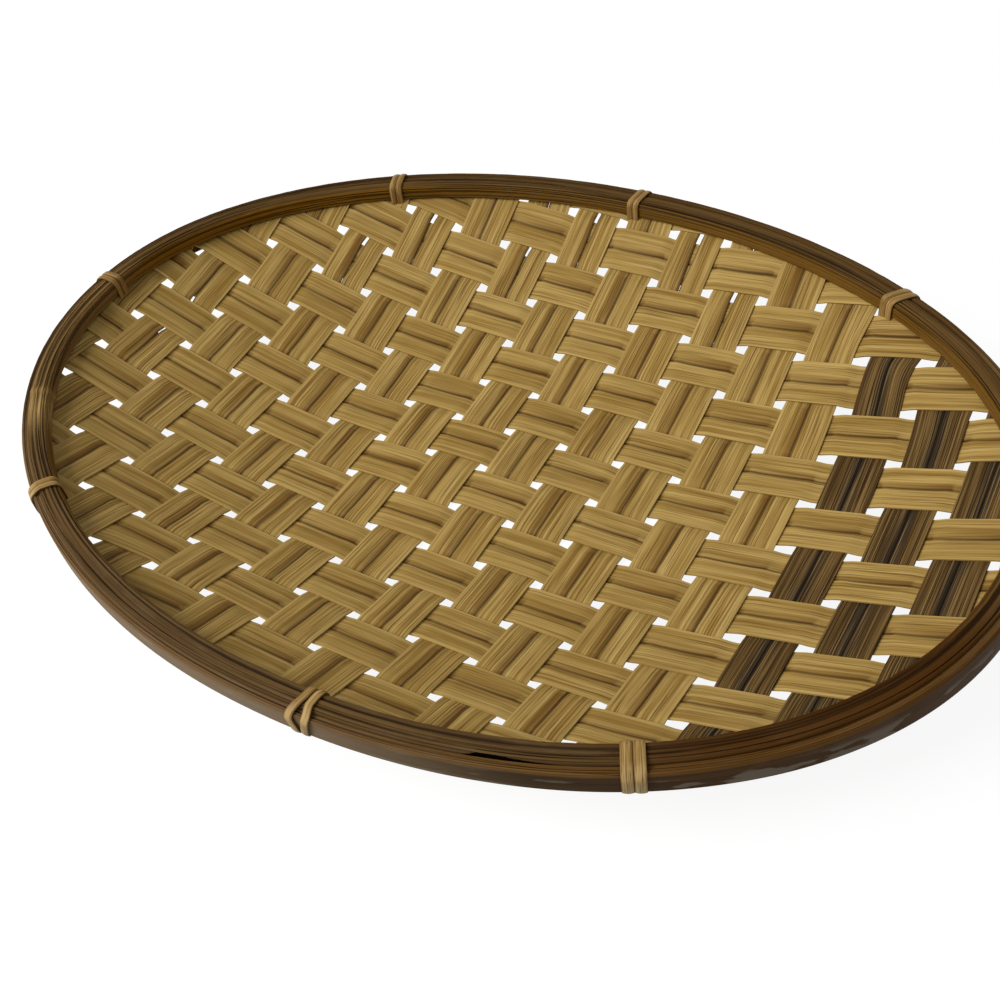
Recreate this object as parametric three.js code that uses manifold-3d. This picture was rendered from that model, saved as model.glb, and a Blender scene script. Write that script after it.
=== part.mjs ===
// Oval dished tray: a mat woven from flat bamboo strips, clamped at its edge between two bent bamboo
// hoops that are bound together with rattan lashings.
// Millimetres, +Z up, +X along the tray towards its dark strands, origin on the table under the middle.
import * as THREE from "three";
import Module from "manifold-3d";

const wasm = await Module();
wasm.setup();

// Driving dimensions of the rim
const trayLength = 400; // over the outer hoop, along X
const trayWidth = 292; // over the outer hoop, along Y
const ovalFullness = 2.06; // 2 is a plain ellipse, more is squarer
const rimHeight = 38.6; // top of the inner hoop above the table, at the tray's sides
const endRise = 4.5; // how much higher the rim stands at the tray's two ends
const endRiseNarrowing = 2; // 1 spreads the rise far round to the sides, more keeps it at the ends
const endRiseFade = 5; // power with which the mat takes up the rise towards the rim
const outerHoopThickness = 2.6;
const outerFootHeight = 27.3; // underside of the outer hoop above the table
const outerHoopDrop = 2; // from the inner hoop's top down to the outer hoop's, at the tray's -Y side
const innerHoopThickness = 7.4;
const seatInset = 9.3; // from the outer hoop's face in to where the mat is as high as the hoop's seat
const innerHoopHeight = 6.2; // at its inner face, from the mat to the top
const hoopSlot = 0.6; // between the two hoops
const scarfLength = 46; // overlap of a hoop's two tapered ends
const scarfTip = 0.8; // thickness left at a tapered end
const innerScarfAngle = 86; // degrees round the oval from +X, where the lap starts
const outerScarfAngle = -86;
const clearance = 0.3; // between pieces that touch

// Driving dimensions of the mat
const stripThickness = 1.0;
const weaveGap = 0.3; // between strands where they cross
const seatGap = 0.6; // from the mat's nominal top to the hoop that lies on it
const columnPitch = 24.6; // strands that run across the tray
const columnGap = 4.4;
const columnOffset = 4.9; // from the tray's middle to the nearest column on the +X side
const rowPitch = 22.36; // strands that run along the tray
const rowGap = 3.8;
const rowOffset = 9.6; // from the tray's middle to the nearest row on the +Y side
const leastShow = 1.5; // a strand is laid if this much of its width shows inside the rim
const darkColumns = 3; // at the +X end
const darkNarrowing = 1.6; // how much slimmer a dark strand is
const pairGroove = 0.3; // depth of the line where the two strips of a strand meet
const bellyFlatWidth = 82; // flat belly that the tray stands on, along Y
const dishCurve = 1.68; // power of the climb from the belly to the rim

// Driving dimensions of the lashings
const lashWidth = 3.2;
const lashThickness = 0.9;
const lashTurnGap = 0.6; // between one turn and the next
const lashTurns = 2;
const lashEase = 0.25; // rounding where a lashing bends over the rim, beyond its clearance
const lashAngles = [180, 126, 90, 51, 0, -55, -85, -133]; // degrees round the oval from +X

const ovalSteps = 96;
const natural = { color: 0xa78a52, roughness: 0.55 };
const dark = { color: 0x5b4429, roughness: 0.55 };
const stained = { color: 0x4e3720, roughness: 0.5 };
const rattan = { color: 0xb29662, roughness: 0.6 };

// Sizes that follow from the driving dimensions
const rimThickness = outerHoopThickness + hoopSlot + innerHoopThickness;
const layerRise = (stripThickness + weaveGap) / 2;
const weaveTop = layerRise + stripThickness / 2;
const seatHeight = rimHeight - innerHoopHeight;
const dishDepth = seatHeight - seatGap - 2 * weaveTop;
const innerHalfLength = trayLength / 2 - seatInset;
const innerHalfWidth = trayWidth / 2 - seatInset;
const bellyShare = bellyFlatWidth / 2 / innerHalfWidth;

// A point on the oval that lies inset from the outer hoop's outer face.
function ovalPoint(inset, angle) {
  const squareness = 2 / ovalFullness;
  const c = Math.cos(angle);
  const s = Math.sin(angle);
  const x = (trayLength / 2 - inset) * Math.sign(c) * Math.abs(c) ** squareness;
  const y = (trayWidth / 2 - inset) * Math.sign(s) * Math.abs(s) ** squareness;
  return new THREE.Vector2(x, y);
}

// How far out a point lies, as a share of the way to the rim, and how much of that is along the tray.
function reachOf(x, y) {
  const alongShare = Math.abs(x / innerHalfLength) ** ovalFullness;
  const acrossShare = Math.abs(y / innerHalfWidth) ** ovalFullness;
  const bothShares = alongShare + acrossShare;
  const endShare = bothShares > 0 ? alongShare / bothShares : 0;
  return { reach: bothShares ** (1 / ovalFullness), endShare };
}

// The rim stands higher at both ends than at the sides, and the mat follows it there.
function endLift(x, y) {
  const { reach, endShare } = reachOf(x, y);
  return endRise * endShare ** endRiseNarrowing * Math.min(1, reach) ** endRiseFade;
}

// Height of the mat's middle layer: flat over the belly, then climbing to the rim.
function dishHeight(x, y) {
  const { reach } = reachOf(x, y);
  const climb = Math.max(0, (reach - bellyShare) / (1 - bellyShare));
  return weaveTop + dishDepth * climb ** dishCurve + endLift(x, y);
}

// A closed body through a row of matching sections, each listed anticlockwise as seen from ahead.
function loft(sections) {
  const sides = sections[0].length;
  const last = (sections.length - 1) * sides;
  const faces = [];
  for (let start = 0; start < last; start += sides) {
    for (let side = 0; side < sides; side++) {
      const a = start + side;
      const b = start + ((side + 1) % sides);
      faces.push(a, b, b + sides, a, b + sides, a + sides);
    }
  }
  for (let side = 1; side + 1 < sides; side++) {
    faces.push(0, side + 1, side);
    faces.push(last, last + side, last + side + 1);
  }
  const geometry = new THREE.BufferGeometry();
  geometry.setFromPoints(sections.flat());
  geometry.setIndex(faces);
  return geometry;
}

function solidOf(geometry) {
  const vertProperties = new Float32Array(geometry.getAttribute("position").array);
  const triVerts = new Uint32Array(geometry.index.array);
  return new wasm.Manifold(new wasm.Mesh({ numProp: 3, vertProperties, triVerts }));
}

// An upright solid over an outline, which is listed anticlockwise as seen from above.
function uprightSolid(outline, low, high) {
  const level = (up) => outline.map((point) => new THREE.Vector3(point.x, point.y, up));
  return solidOf(loft([level(low), level(high)]));
}

function geometryOf(solid) {
  const mesh = solid.getMesh();
  const geometry = new THREE.BufferGeometry();
  geometry.setAttribute("position", new THREE.BufferAttribute(mesh.vertProperties, 3));
  geometry.setIndex(new THREE.BufferAttribute(mesh.triVerts, 1));
  return geometry;
}

function pieceOf(name, geometry, finish) {
  geometry.computeVertexNormals();
  const piece = new THREE.Mesh(geometry, new THREE.MeshStandardMaterial({ ...finish, metalness: 0 }));
  piece.name = name;
  return piece;
}

// One upright section of a hoop, between two insets, with its foot and its top as heights.
function hoopSection(angle, outerInset, innerInset, footHeight, topHeight) {
  const outer = ovalPoint(outerInset, angle);
  const inner = ovalPoint(innerInset, angle);
  return [
    new THREE.Vector3(outer.x, outer.y, footHeight(outer)),
    new THREE.Vector3(inner.x, inner.y, footHeight(inner)),
    new THREE.Vector3(inner.x, inner.y, topHeight(inner)),
    new THREE.Vector3(outer.x, outer.y, topHeight(outer)),
  ];
}

// A splint bent once round the oval, whose two ends taper past each other in a scarf.
function bentHoop(outerInset, thickness, scarfDegrees, footHeight, topHeight) {
  const innerInset = outerInset + thickness;
  const start = THREE.MathUtils.degToRad(scarfDegrees);
  const place = ovalPoint(outerInset, start);
  const turnRadius = Math.hypot(place.x, place.y);
  const lap = scarfLength / turnRadius;
  const slip = (2 * clearance) / turnRadius;
  const lapSteps = Math.ceil((lap / (2 * Math.PI)) * ovalSteps);
  const bareSteps = ovalSteps - lapSteps;
  const taper = thickness - 2 * scarfTip - clearance;
  const sections = [];
  const lay = (angle, from, to) => sections.push(hoopSection(angle, from, to, footHeight, topHeight));
  for (let step = 0; step <= lapSteps; step++) {
    const share = step / lapSteps;
    lay(start + share * lap, innerInset - scarfTip - share * taper, innerInset);
  }
  for (let step = 0; step <= bareSteps; step++) {
    const share = step / bareSteps;
    const from = start + lap + slip;
    const to = start + 2 * Math.PI - slip;
    lay(from + share * (to - from), outerInset, innerInset);
  }
  for (let step = 0; step <= lapSteps; step++) {
    const share = step / lapSteps;
    const bevel = innerInset - scarfTip - clearance - share * taper;
    lay(start + 2 * Math.PI + share * lap, outerInset, bevel);
  }
  return loft(sections);
}

// The outer hoop stands round the mat's edge and hides the cut ends of the strips. Its top is level with
// the inner hoop's on one side and a little lower on the other.
const innerTop = (point) => rimHeight + endLift(point.x, point.y);
const dropShare = (point) => (1 - point.y / (trayWidth / 2)) / 2;
const outerTop = (point) => innerTop(point) - outerHoopDrop * dropShare(point);
const outerFoot = () => outerFootHeight;
const outerHoop = bentHoop(0, outerHoopThickness, outerScarfAngle, outerFoot, outerTop);

// The inner hoop lies on the mat, so its underside follows the slope of the dish.
const innerFoot = (point) => dishHeight(point.x, point.y) + weaveTop + seatGap;
const innerHoopInset = outerHoopThickness + hoopSlot;
const innerHoop = bentHoop(innerHoopInset, innerHoopThickness, innerScarfAngle, innerFoot, innerTop);

const rim = new THREE.Group();
rim.add(pieceOf("outer_hoop", outerHoop, stained));
rim.add(pieceOf("inner_hoop", innerHoop, stained));

// Path of a lashing in the rim's upright section: up inside, over, down outside and back underneath.
// Each corner has its place and the way that the strip's outer side faces as it gets there.
const lashOff = clearance + lashThickness / 2;
const lashBend = lashOff + lashEase;
const lashInside = -(rimThickness + lashOff);
const lashOutside = lashOff;
const lashOver = rimHeight + lashOff;
const lashUnder = outerFootHeight - lashOff;
const lashCorners = (lift) => [
  { out: lashInside, up: lashOver + lift, turn: Math.PI },
  { out: lashOutside, up: lashOver + lift, turn: Math.PI / 2 },
  { out: lashOutside, up: lashUnder, turn: 0 },
  { out: lashInside, up: lashUnder, turn: -Math.PI / 2 },
];
const cornersPerTurn = lashCorners(0).length;
const bendSteps = 2; // of the quarter turn at each corner
const turnPitch = lashWidth + lashTurnGap;
const lashSpread = (lashTurns - 1) * turnPitch + lashWidth;

// Section of the strip where its outer side faces the given way, at a place along the rim.
function lashSection(out, up, facing, along) {
  const away = new THREE.Vector2(Math.cos(facing), Math.sin(facing)).multiplyScalar(lashThickness / 2);
  const corner = (side, edge) =>
    new THREE.Vector3(out + side * away.x, along + (edge * lashWidth) / 2, up + side * away.y);
  return [corner(1, -1), corner(-1, -1), corner(-1, 1), corner(1, 1)];
}

// The strip winds round the rim turn by turn, and steps sideways only where it passes underneath.
function lashSections(lift) {
  const firstPlace = -((lashTurns - 1) * turnPitch) / 2;
  const sections = [lashSection(lashInside, lashUnder, Math.PI, firstPlace)];
  for (let turn = 0; turn < lashTurns; turn++) {
    const along = firstPlace + turn * turnPitch;
    const isLast = turn === lashTurns - 1;
    const corners = lashCorners(lift).slice(0, isLast ? 2 : cornersPerTurn);
    corners.forEach((corner, index) => {
      const place = index === cornersPerTurn - 1 ? along + turnPitch : along;
      const inwards = corner.turn - Math.PI / 4;
      const centreOut = corner.out - Math.SQRT2 * lashBend * Math.cos(inwards);
      const centreUp = corner.up - Math.SQRT2 * lashBend * Math.sin(inwards);
      for (let part = 0; part <= bendSteps; part++) {
        const facing = corner.turn - ((part / bendSteps) * Math.PI) / 2;
        const out = centreOut + lashBend * Math.cos(facing);
        const up = centreUp + lashBend * Math.sin(facing);
        sections.push(lashSection(out, up, facing, place));
      }
    });
  }
  const lastPlace = firstPlace + (lashTurns - 1) * turnPitch;
  sections.push(lashSection(lashOutside, lashUnder, 0, lastPlace));
  return sections;
}

// Least gap between one turn and the next, on the corners of sections that face the same way.
function leastTurnGap(sections) {
  const perTurn = (bendSteps + 1) * cornersPerTurn;
  let least = Infinity;
  sections.forEach((section, index) => {
    const later = sections[index + perTurn];
    if (later === undefined) return;
    section.forEach((a) => later.forEach((b) => (least = Math.min(least, a.distanceTo(b)))));
  });
  return least;
}

const lashForms = lashAngles.map((degrees) => {
  const here = ovalPoint(0, THREE.MathUtils.degToRad(degrees));
  return lashSections(endLift(here.x, here.y));
});
const leastGap = Math.min(...lashForms.map(leastTurnGap));
console.log("least gap between turns of a lashing " + leastGap.toFixed(2) + " mm");

// Stands a piece of the rim's section at its place on the oval, facing straight out.
function standOnRim(object, degrees) {
  const angle = THREE.MathUtils.degToRad(degrees);
  const slight = 1e-4;
  const here = ovalPoint(0, angle);
  const ahead = ovalPoint(0, angle + slight).sub(ovalPoint(0, angle - slight));
  object.position.set(here.x, here.y, 0);
  object.rotation.z = Math.atan2(-ahead.x, ahead.y);
  return object;
}

const lashings = new THREE.Group();
lashAngles.forEach((degrees, index) => {
  const lashing = pieceOf("rim_lashing_" + (index + 1), loft(lashForms[index]), rattan);
  lashings.add(standOnRim(lashing, degrees));
});

// Where a lashing goes down through the mat, a strip has a slot and is split from there to its end.
function lashSplit(degrees, axis) {
  const half = lashThickness / 2 + clearance;
  const reach = lashSpread / 2 + clearance;
  const stand = standOnRim(new THREE.Object3D(), degrees);
  stand.updateMatrix();
  const corner = (side, edge) =>
    new THREE.Vector3(lashInside + side * half, edge * reach, 0).applyMatrix4(stand.matrix);
  const slot = [corner(-1, -1), corner(1, -1), corner(1, 1), corner(-1, 1)];
  const outwards = new THREE.Vector3();
  outwards[axis] = Math.sign(slot[0][axis]) * trayLength;

  // The wider diagonal, as seen along the strip, is carried out past the end.
  const across = axis === "x" ? "y" : "x";
  const spread = ([a, b]) => Math.abs(a[across] - b[across]);
  const forward = [slot[0], slot[2]];
  const backward = [slot[1], slot[3]];
  const [first, second] = spread(forward) > spread(backward) ? forward : backward;
  const split = [first, first.clone().add(outwards), second.clone().add(outwards), second];
  if (outwards.clone().cross(second.clone().sub(first)).z < 0) split.reverse();
  const low = lashUnder;
  const high = lashOver + endRise;
  return uprightSolid(slot, low, high).add(uprightSolid(split, low, high));
}

const splitsAlong = (axis) =>
  lashAngles.map((degrees) => lashSplit(degrees, axis)).reduce((all, split) => all.add(split));

// The mat is cut to the oval just inside the outer hoop.
const matOutline = [];
for (let step = 0; step < ovalSteps; step++) {
  matOutline.push(ovalPoint(outerHoopThickness + clearance, (step / ovalSteps) * 2 * Math.PI));
}
const matCut = uprightSolid(matOutline, -rimHeight, 2 * rimHeight);

// Places for strands, numbered from the tray's middle to just past the rim. Those that show are laid.
function layOut(pitch, gap, offset, halfSpan, slimmer) {
  const laid = [];
  const most = Math.ceil(halfSpan / pitch) + 1;
  for (let number = -most; number <= most; number++) {
    const place = offset + number * pitch;
    const shows = Math.abs(place) - (pitch - gap) / 2 < halfSpan - leastShow;
    laid.push({ number, place, width: pitch - gap, shows });
  }
  const shown = laid.filter((strand) => strand.shows);
  shown.slice(shown.length - slimmer).forEach((strand) => {
    strand.width -= darkNarrowing;
    strand.isDark = true;
  });
  return laid;
}

const columns = layOut(columnPitch, columnGap, columnOffset, innerHalfLength, darkColumns);
const rows = layOut(rowPitch, rowGap, rowOffset, innerHalfWidth, 0);

// Section of a strand: flat below, with a groove along the top where its two strips meet.
function strandSection(right, left, rise) {
  const half = stripThickness / 2;
  const level = (point, up) => new THREE.Vector3(point.x, point.y, dishHeight(point.x, point.y) + rise + up);
  const rightTop = level(right, half);
  const leftTop = level(left, half);
  const groove = rightTop.clone().lerp(leftTop, 0.5);
  groove.z -= pairGroove;
  return [groove, rightTop, level(right, -half), level(left, -half), leftTop];
}

// A strand passes over one crossing strand and under the next, and is trimmed to the oval.
function wovenStrand(crossings, isOver, rightOf, leftOf, splits) {
  const sections = [];
  crossings.forEach((crossing) => {
    const rise = isOver(crossing.number) ? layerRise : -layerRise;
    [-0.5, 0.5].forEach((share) => {
      const along = crossing.place + share * crossing.width;
      sections.push(strandSection(rightOf(along), leftOf(along), rise));
    });
  });
  return geometryOf(solidOf(loft(sections)).intersect(matCut).subtract(splits));
}

const isOdd = (number) => Math.abs(number) % 2 === 1;
const twoDigits = (count) => String(count).padStart(2, "0");

const mat = new THREE.Group();
const shownRows = rows.filter((row) => row.shows);
const rowSplits = splitsAlong("x");
shownRows.forEach((row, index) => {
  const rightOf = (along) => new THREE.Vector2(along, row.place - row.width / 2);
  const leftOf = (along) => new THREE.Vector2(along, row.place + row.width / 2);
  const isOver = (number) => isOdd(number + row.number);
  const strand = wovenStrand(columns, isOver, rightOf, leftOf, rowSplits);
  mat.add(pieceOf("long_strand_" + twoDigits(index + 1), strand, natural));
});

const shownColumns = columns.filter((column) => column.shows);
const columnSplits = splitsAlong("y");
shownColumns.forEach((column, index) => {
  const rightOf = (along) => new THREE.Vector2(column.place + column.width / 2, along);
  const leftOf = (along) => new THREE.Vector2(column.place - column.width / 2, along);
  const isOver = (number) => !isOdd(number + column.number);
  const strand = wovenStrand(rows, isOver, rightOf, leftOf, columnSplits);
  mat.add(pieceOf("cross_strand_" + twoDigits(index + 1), strand, column.isDark ? dark : natural));
});

const tray = new THREE.Group();
tray.add(mat, rim, lashings);

export default tray;
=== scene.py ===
import math

import bmesh
import bpy
from mathutils import Matrix, Vector


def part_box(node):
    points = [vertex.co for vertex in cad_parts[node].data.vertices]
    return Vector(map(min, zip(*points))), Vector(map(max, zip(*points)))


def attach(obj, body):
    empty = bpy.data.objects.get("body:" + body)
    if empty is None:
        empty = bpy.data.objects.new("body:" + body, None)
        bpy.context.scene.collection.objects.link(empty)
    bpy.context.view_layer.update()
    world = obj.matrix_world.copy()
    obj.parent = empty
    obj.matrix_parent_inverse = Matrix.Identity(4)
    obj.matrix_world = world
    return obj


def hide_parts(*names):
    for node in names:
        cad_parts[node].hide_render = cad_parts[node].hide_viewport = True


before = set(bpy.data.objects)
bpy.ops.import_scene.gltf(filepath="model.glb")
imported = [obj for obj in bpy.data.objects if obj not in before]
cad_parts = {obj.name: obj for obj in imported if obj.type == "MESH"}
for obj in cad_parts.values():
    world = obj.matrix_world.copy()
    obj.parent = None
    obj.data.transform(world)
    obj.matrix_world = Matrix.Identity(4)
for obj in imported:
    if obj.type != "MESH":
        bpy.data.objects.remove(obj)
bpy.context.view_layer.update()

# Long strands
# Flat strips split from a bamboo culm and shaved thin, laid along the tray two by two. Each pair goes
# over one cross strand and under the next, and its two strips dip towards the joint between them.
mm = 0.001
rim_low, rim_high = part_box("outer_hoop")
half_length = rim_high.x
half_width = rim_high.y
oval_fullness = 2.06  # 2 is a plain ellipse
seat_inset = 9.3 * mm  # from the outer hoop's face in to where the mat is as high as the rim's seat
mat_inset = 2.9 * mm  # from the outer hoop's face to the strips' cut ends
mat_middle = 1.15 * mm  # height of the mat's middle layer over the belly
dish_depth = 29.5 * mm
dish_curve = 1.68
belly_share = 0.30  # of the way out from the middle that is flat
end_rise = 4.5 * mm  # how much higher the rim stands at the tray's two ends
end_rise_narrowing = 2.0  # 1 would spread the rise far round to the sides
end_rise_fade = 5.0  # power with which the mat takes up the rise towards the rim
strip_thickness = 0.62 * mm
pair_slit = 0.1 * mm  # between the two strips of a pair
layer_rise = 0.42 * mm  # of a strand over or under the mat's middle layer
over_bow = 0.14 * mm  # crown of a strand between the two that hold it down
under_bow = 0.08 * mm
gape_length = 16 * mm  # along a pair, where its two strips gape
joint_dip = 0.45 * mm
edge_drop = 0.1 * mm
edge_wander = 0.35 * mm  # hand-split edges aren't quite straight
edge_sharpness = 10  # power with which a strip drops towards its outer edge
joint_reach = 0.62  # share of a strip's width that dips towards the joint
held_dip = 0.2  # share of that dip which is left where the pair lies underneath
float_reach = 0.47  # share of a pitch, on each side of a crossing, over which the pair dips
wander_rate = 14  # how often an edge wanders in a metre
crossing_slope = 0.13  # share of a pitch in which a strand changes layer
side_margin = 0.3 * mm  # from the outermost strips' edges to the oval's sides
least_strip = 1.0 * mm  # a strip that has less room than this inside the oval is left out
pair_seed = 0.37  # tells the fibres of a pair's two strips apart
strip_points = 11  # across a strip's face
stations_per_crossing = 18
least_stations = 24
weld = 0.0003 * mm  # points that are nearer than this are joined
sharp_edge = math.radians(42)  # faces that meet at more than this keep a sharp edge


class Wire:
    """A number that runs between the nodes of a tree, and adds and multiplies as a number does."""

    def __init__(self, tree, socket):
        self.tree = tree
        self.socket = socket

    def math(self, operation, *others):
        return worked(self.tree, operation, self, *others)

    def __add__(self, other):
        return self.math("ADD", other)

    def __sub__(self, other):
        return self.math("SUBTRACT", other)

    def __rsub__(self, other):
        return worked(self.tree, "SUBTRACT", other, self)

    def __mul__(self, other):
        return self.math("MULTIPLY", other)

    def __truediv__(self, other):
        return self.math("DIVIDE", other)

    def __rtruediv__(self, other):
        return worked(self.tree, "DIVIDE", other, self)

    def __pow__(self, other):
        return self.math("POWER", other)

    def __abs__(self):
        return self.math("ABSOLUTE")

    __radd__ = __add__
    __rmul__ = __mul__


def plug(tree, value, socket):
    """Leads a wire or a socket into a node's socket, or sets a plain number on it."""
    if isinstance(value, Wire):
        tree.links.new(value.socket, socket)
    elif isinstance(value, bpy.types.NodeSocket):
        tree.links.new(value, socket)
    else:
        socket.default_value = value


def worked(tree, operation, *values):
    node = tree.nodes.new("ShaderNodeMath")
    node.operation = operation
    for value, socket in zip(values, node.inputs):
        plug(tree, value, socket)
    return Wire(tree, node.outputs[0])


def placed(tree, x, y, z):
    """A vector made of three wires."""
    node = tree.nodes.new("ShaderNodeCombineXYZ")
    for value, socket in zip((x, y, z), node.inputs):
        plug(tree, value, socket)
    return node.outputs[0]


def parted(tree, vector):
    """The three wires of a vector."""
    node = tree.nodes.new("ShaderNodeSeparateXYZ")
    tree.links.new(vector, node.inputs[0])
    return [Wire(tree, socket) for socket in node.outputs]


def mottle(tree, x, y, z, detail=2.0):
    """Smooth noise about 0.5, which changes about once in every unit of x, y and z."""
    node = tree.nodes.new("ShaderNodeTexNoise")
    node.inputs["Scale"].default_value = 1.0
    node.inputs["Detail"].default_value = detail
    tree.links.new(placed(tree, x, y, z), node.inputs["Vector"])
    return Wire(tree, node.outputs[0])


def within(value, low, high):
    return value.math("MAXIMUM", low).math("MINIMUM", high)


def band(value, start, end):
    """Rises smoothly from 0 at start to 1 at end."""
    node = value.tree.nodes.new("ShaderNodeMapRange")
    node.interpolation_type = "SMOOTHSTEP"
    for socket, number in zip(node.inputs, (value, start, end, 0.0, 1.0)):
        plug(value.tree, number, socket)
    return Wire(value.tree, node.outputs[0])


def start_tree(name, sizes):
    """A new Geometry Nodes tree with a named input for each size, and the wires that come from them."""
    tree = bpy.data.node_groups.new(name, "GeometryNodeTree")
    for size in sizes:
        tree.interface.new_socket(size, in_out="INPUT", socket_type="NodeSocketFloat")
    tree.interface.new_socket("Stations", in_out="INPUT", socket_type="NodeSocketInt")
    tree.interface.new_socket("Finish", in_out="INPUT", socket_type="NodeSocketMaterial")
    tree.interface.new_socket("Piece", in_out="OUTPUT", socket_type="NodeSocketGeometry")
    entry = tree.nodes.new("NodeGroupInput")
    wires = {socket.name: Wire(tree, socket) for socket in entry.outputs if socket.name}
    return tree, wires


def after(tree, kind, geometry, **settings):
    """Puts a node that changes a geometry after another, with its other inputs set by name."""
    node = tree.nodes.new(kind)
    tree.links.new(geometry, node.inputs[0])
    for name, value in settings.items():
        plug(tree, value, node.inputs[name.replace("_", " ").title()])
    return node.outputs[0]


def sheet(tree, stations, across):
    """A square grid for one face of a strip, with wires that run 0 to 1 along it and -1 to 1 across."""
    node = tree.nodes.new("GeometryNodeMeshGrid")
    plug(tree, stations, node.inputs["Vertices X"])
    node.inputs["Vertices Y"].default_value = across
    x, y, _ = parted(tree, tree.nodes.new("GeometryNodeInputPosition").outputs[0])
    return node.outputs[0], x + 0.5, (y * math.pi).math("SINE")


def marked(tree, geometry, name, x, y, z):
    """Writes an attribute for the finish to read."""
    node = tree.nodes.new("GeometryNodeStoreNamedAttribute")
    node.data_type = "FLOAT_VECTOR"
    node.inputs["Name"].default_value = name
    tree.links.new(geometry, node.inputs["Geometry"])
    tree.links.new(placed(tree, x, y, z), node.inputs["Value"])
    return node.outputs[0]


def thickened(tree, geometry, thickness):
    """Gives a face its thickness below, as two skins and their sides."""
    node = tree.nodes.new("GeometryNodeExtrudeMesh")
    tree.links.new(geometry, node.inputs["Mesh"])
    node.inputs["Individual"].default_value = False
    plug(tree, thickness * -1.0, node.inputs["Offset Scale"])
    return joined(tree, [geometry, node.outputs["Mesh"]])


def joined(tree, geometries):
    node = tree.nodes.new("GeometryNodeJoinGeometry")
    for geometry in geometries:
        tree.links.new(geometry, node.inputs[0])
    return node.outputs[0]


def end_tree(tree, geometry, finish):
    """Ends a tree as a smooth, realized mesh with its finish."""
    geometry = after(tree, "GeometryNodeRealizeInstances", geometry)
    geometry = after(tree, "GeometryNodeSetShadeSmooth", geometry)
    geometry = after(tree, "GeometryNodeSetMaterial", geometry, material=finish)
    last = tree.nodes.new("NodeGroupOutput")
    tree.links.new(geometry, last.inputs[0])


def grown(name, tree, sizes):
    """Runs a tree and keeps what comes out as a plain closed mesh with its faces outwards."""
    piece = bpy.data.objects.new(name, bpy.data.meshes.new(name))
    bpy.context.collection.objects.link(piece)
    modifier = piece.modifiers.new(tree.name, "NODES")
    modifier.node_group = tree
    for socket in tree.interface.items_tree:
        if socket.in_out == "INPUT":
            modifier[socket.identifier] = sizes[socket.name]
    graph = bpy.context.evaluated_depsgraph_get()
    shown = piece.evaluated_get(graph)
    mesh = bpy.data.meshes.new_from_object(shown, preserve_all_data_layers=True, depsgraph=graph)
    piece.modifiers.clear()
    piece.data = mesh
    body = bmesh.new()
    body.from_mesh(mesh)
    bmesh.ops.remove_doubles(body, verts=body.verts, dist=weld)
    bmesh.ops.holes_fill(body, edges=body.edges, sides=0)
    bmesh.ops.recalc_face_normals(body, faces=body.faces)
    body.to_mesh(mesh)
    body.free()
    mesh.set_sharp_from_angle(angle=sharp_edge)
    return piece


def reach_of(x, y):
    """A point's share of the way out to the rim, and how much of that runs along the tray."""
    along = (abs(x) / (half_length - seat_inset)) ** oval_fullness
    across = (abs(y) / (half_width - seat_inset)) ** oval_fullness
    both = along + across
    return both ** (1 / oval_fullness), along / both


def end_lift(x, y):
    """The rim stands higher at both ends than at the sides, and the mat follows it there."""
    reach, end_share = reach_of(x, y)
    return end_rise * end_share**end_rise_narrowing * reach.math("MINIMUM", 1.0) ** end_rise_fade


def dish_height(x, y):
    """Height of the mat's middle layer: flat over the belly, then climbing to the rim."""
    reach, _ = reach_of(x, y)
    climb = ((reach - belly_share) / (1 - belly_share)).math("MAXIMUM", 0.0)
    return mat_middle + dish_depth * climb**dish_curve + end_lift(x, y)


def hump(value, middle, spread):
    """A smooth hump, 1 at its middle."""
    away = (value - middle) / spread
    return (away * away * -1).math("EXPONENT")


weave_pulls = (  # where the hand-made weave is off the even one: place, spread and pull, x and y, in mm
    (130, 10, 40, 55, 1.7, 0.0),
    (-85, 15, 45, 75, 1.6, -1.6),
    (90, -75, 45, 30, 0.3, -2.8),
    (-80, -112, 60, 22, -0.5, 4.0),
    (15, 62, 50, 28, -0.6, 1.3),
    (140, 88, 30, 25, -4.0, 1.0),
)


def pulled(x, y):
    """Where a point of the even weave lies in the real one, which is true to it only at the rim."""
    reach, _ = reach_of(x, y)
    loose = band(reach, 1.03, 0.9)
    off_x, off_y = loose * 0.0, loose * 0.0
    for place_x, place_y, spread_x, spread_y, pull_x, pull_y in weave_pulls:
        share = hump(x, place_x * mm, spread_x * mm) * hump(y, place_y * mm, spread_y * mm) * loose
        off_x = off_x + share * (pull_x * mm)
        off_y = off_y + share * (pull_y * mm)
    return x + off_x, y + off_y


def middle_of(node, axis):
    low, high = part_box(node)
    return (low[axis] + high[axis]) / 2


column_pitch = (middle_of("cross_strand_12", 0) - middle_of("cross_strand_04", 0)) / 8
column_offset = middle_of("cross_strand_09", 0)
row_pitch = (middle_of("long_strand_11", 1) - middle_of("long_strand_03", 1)) / 8
row_offset = middle_of("long_strand_07", 1)
strand_sizes = (
    "Place",
    "Number",
    "Half Width",
    "Gape Place",
    "Gape Length",
    "Gape Width",
    "Seed",
)


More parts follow.
